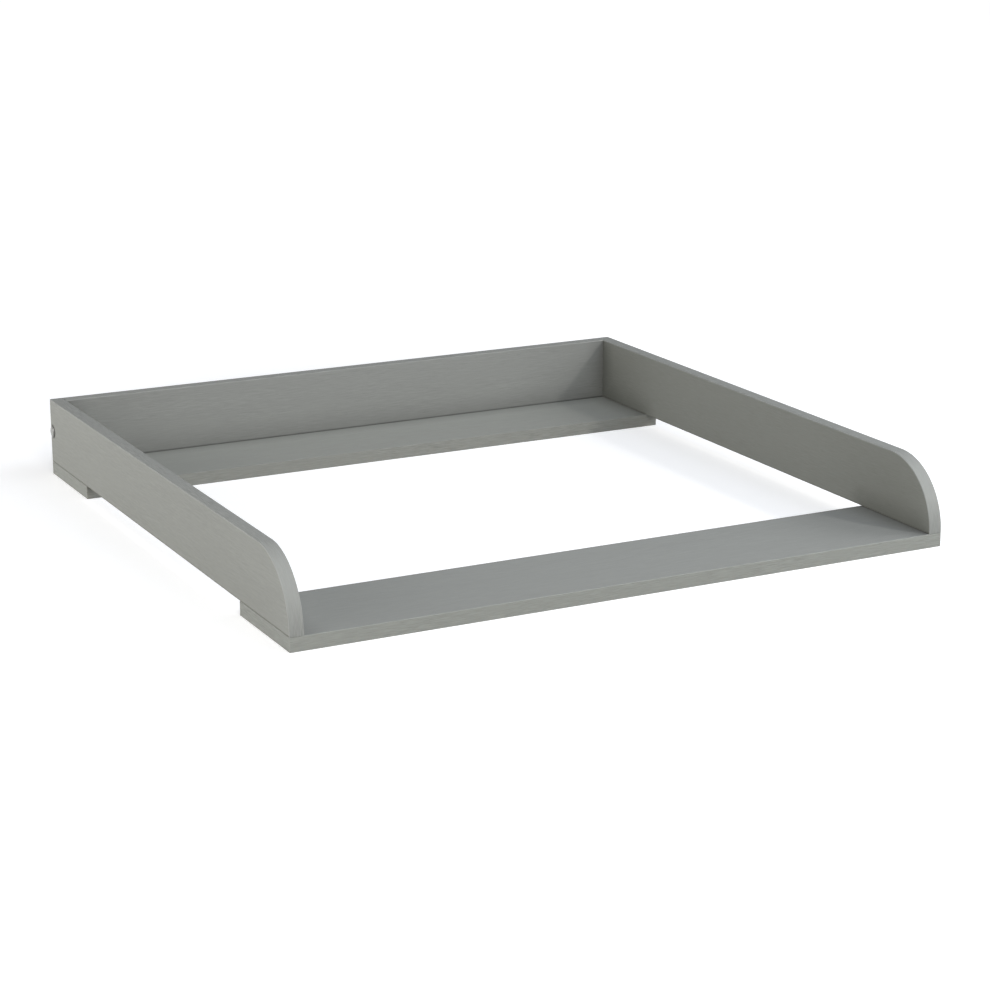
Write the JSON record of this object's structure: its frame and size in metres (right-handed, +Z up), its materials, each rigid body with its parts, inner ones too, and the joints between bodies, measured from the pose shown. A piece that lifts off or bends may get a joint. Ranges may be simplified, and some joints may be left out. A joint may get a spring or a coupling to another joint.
{
  "type": "changing table topper",
  "caption": "Open rectangular frame of edge-banded board with quarter-round side panels and a low back panel, set on a chest of drawers to hold a changing mat in place.",
  "frame": {"origin": "middle of the frame's footprint, on the plane that the two bottom boards stand on", "axes": "+X to the right as seen from the open front, +Y from the open front to the back panel, +Z up"},
  "size_m": [0.8056, 0.765, 0.096],
  "materials": {
    "printed_face": "grey wood-grain printed face on chipboard, satin matt",
    "edge_band": "grey wood-grain edge band, satin matt",
    "zinc_steel": "zinc plated",
    "cap_plastic": "smooth satin grey",
    "beech": "raw fluted beech"
  },
  "bodies": {
    "root": {"left_side_panel": "printed_face", "right_side_panel": "printed_face", "back_panel": "printed_face", "front_board": "printed_face", "rear_board": "printed_face", "left_panel_top_band": "edge_band", "left_panel_rear_band": "edge_band", "left_panel_bottom_band": "edge_band", "right_panel_top_band": "edge_band", "right_panel_rear_band": "edge_band", "right_panel_bottom_band": "edge_band", "back_panel_top_band": "edge_band", "front_board_front_band": "edge_band", "front_board_rear_band": "edge_band", "front_board_left_band": "edge_band", "front_board_right_band": "edge_band", "rear_board_front_band": "edge_band", "rear_board_rear_band": "edge_band", "rear_board_left_band": "edge_band", "rear_board_right_band": "edge_band", "left_corner_screw": "zinc_steel", "right_corner_screw": "zinc_steel", "front_left_board_screw_1": "zinc_steel", "front_left_board_screw_2": "zinc_steel", "front_right_board_screw_1": "zinc_steel", "front_right_board_screw_2": "zinc_steel", "rear_left_board_screw_1": "zinc_steel", "rear_left_board_screw_2": "zinc_steel", "rear_right_board_screw_1": "zinc_steel", "rear_right_board_screw_2": "zinc_steel", "back_panel_screw_left": "zinc_steel", "back_panel_screw_middle": "zinc_steel", "back_panel_screw_right": "zinc_steel", "left_corner_cap": "cap_plastic", "right_corner_cap": "cap_plastic", "left_corner_dowel_lower": "beech", "left_corner_dowel_upper": "beech", "right_corner_dowel_lower": "beech", "right_corner_dowel_upper": "beech", "front_left_board_dowel": "beech", "front_right_board_dowel": "beech", "rear_left_board_dowel": "beech", "rear_right_board_dowel": "beech"}
  },
  "joints": []
}
